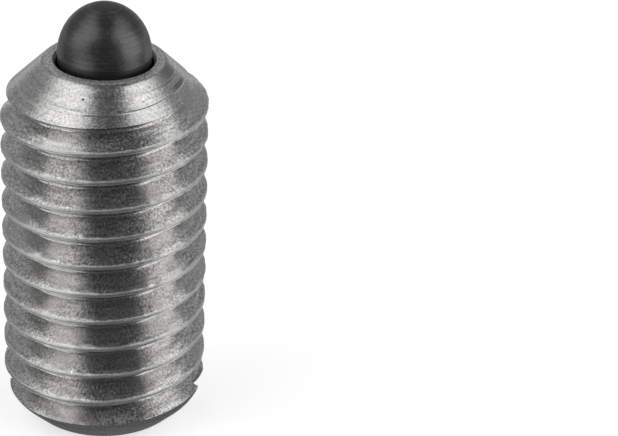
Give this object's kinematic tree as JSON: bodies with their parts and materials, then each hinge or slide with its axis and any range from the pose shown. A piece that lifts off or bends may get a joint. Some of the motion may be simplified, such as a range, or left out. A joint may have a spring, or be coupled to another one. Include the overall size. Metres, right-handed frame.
{
  "type": "spring plunger",
  "caption": "Spring plunger: a threaded steel sleeve with a screwdriver slot at one end and a sprung, domed thrust pin at the other.",
  "frame": {"origin": "centre of the slotted end face, on the sleeve's axis", "axes": "+Z along the sleeve's axis towards the thrust pin; +X along the screwdriver slot"},
  "size_m": [0.0098, 0.0098, 0.0218],
  "materials": {
    "turned_steel": "turned steel with fine tool marks, dull grey",
    "blackened_steel": "hardened and blackened, satin",
    "spring_steel": "drawn wire, smooth"
  },
  "bodies": {
    "sleeve": {"threaded_sleeve": "turned_steel", "spring": "spring_steel"},
    "pin": {"thrust_pin": "blackened_steel"}
  },
  "joints": [
    {"name": "pin_slide", "type": "slide", "parent": "sleeve", "child": "pin", "axis": [0, 0, -1], "range_m": [0, 0.0028], "stiffness_N_per_m": 4000, "springref_m": -0.0035, "deforming": ["spring"]}
  ]
}
